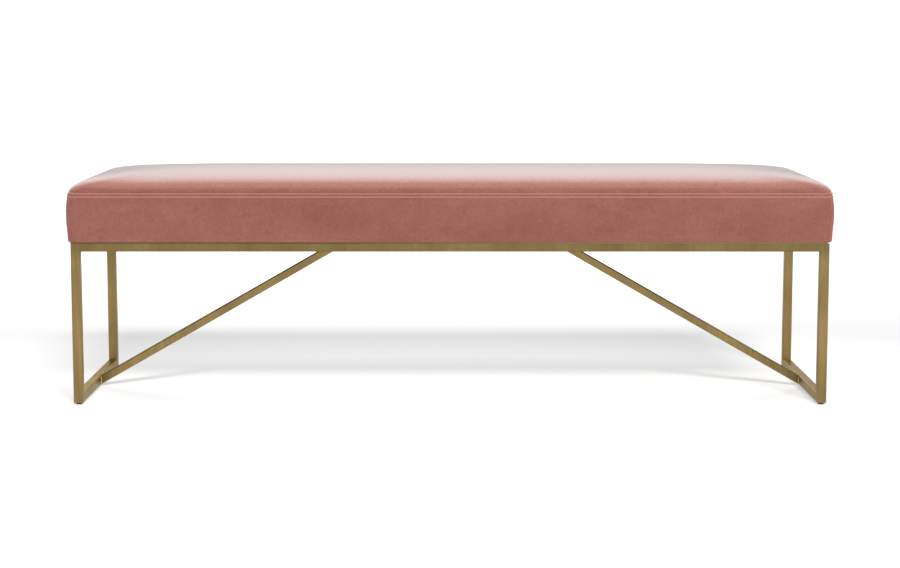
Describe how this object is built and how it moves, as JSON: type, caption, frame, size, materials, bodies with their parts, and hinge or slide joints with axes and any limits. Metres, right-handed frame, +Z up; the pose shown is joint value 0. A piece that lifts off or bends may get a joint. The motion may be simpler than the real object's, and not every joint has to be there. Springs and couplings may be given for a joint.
{
  "type": "upholstered bench",
  "caption": "Long low bench with a boxed velvet cushion on a slim square-tube metal frame with floor bars and slanting end braces.",
  "frame": {"origin": "on the floor, under the middle of the bench", "axes": "+X along the bench to the right as seen from the front, -Y towards the front, +Z up"},
  "size_m": [1.544, 0.474, 0.475],
  "materials": {
    "brass_finish": "brushed, plated in an antique brass colour",
    "velvet": "short-pile velvet",
    "foam": "open-cell foam",
    "batting": "polyester wadding",
    "plywood": "sanded plywood",
    "lining": "black spun-bonded cloth",
    "zinc_steel": "zinc plated",
    "glide_plastic": "matt nylon"
  },
  "bodies": {
    "bench": {"batting": "batting", "deck": "plywood", "dust_cover": "lining", "foam_core": "foam", "front_band": "velvet", "front_left_leg": "brass_finish", "front_left_nut": "zinc_steel", "front_left_tab": "brass_finish", "front_rail": "brass_finish", "front_right_leg": "brass_finish", "front_right_nut": "zinc_steel", "front_right_tab": "brass_finish", "left_band": "velvet", "left_brace": "brass_finish", "left_cross_rail": "brass_finish", "left_end_rail": "brass_finish", "left_floor_bar": "brass_finish", "rear_band": "velvet", "rear_left_leg": "brass_finish", "rear_left_nut": "zinc_steel", "rear_left_tab": "brass_finish", "rear_rail": "brass_finish", "rear_right_leg": "brass_finish", "rear_right_nut": "zinc_steel", "rear_right_tab": "brass_finish", "right_band": "velvet", "right_brace": "brass_finish", "right_cross_rail": "brass_finish", "right_end_rail": "brass_finish", "right_floor_bar": "brass_finish", "seat_screws": "zinc_steel", "top_panel": "velvet"},
    "front_left_glide": {"front_left_glide_pad": "glide_plastic", "front_left_glide_stud": "zinc_steel"},
    "front_right_glide": {"front_right_glide_pad": "glide_plastic", "front_right_glide_stud": "zinc_steel"},
    "rear_left_glide": {"rear_left_glide_pad": "glide_plastic", "rear_left_glide_stud": "zinc_steel"},
    "rear_right_glide": {"rear_right_glide_pad": "glide_plastic", "rear_right_glide_stud": "zinc_steel"}
  },
  "joints": [
    {"name": "front_left_glide_height", "type": "slide", "parent": "bench", "child": "front_left_glide", "axis": [0, 0, -1], "range_m": [0, 0.008]},
    {"name": "front_right_glide_height", "type": "slide", "parent": "bench", "child": "front_right_glide", "axis": [0, 0, -1], "range_m": [0, 0.008]},
    {"name": "rear_left_glide_height", "type": "slide", "parent": "bench", "child": "rear_left_glide", "axis": [0, 0, -1], "range_m": [0, 0.008]},
    {"name": "rear_right_glide_height", "type": "slide", "parent": "bench", "child": "rear_right_glide", "axis": [0, 0, -1], "range_m": [0, 0.008]}
  ]
}
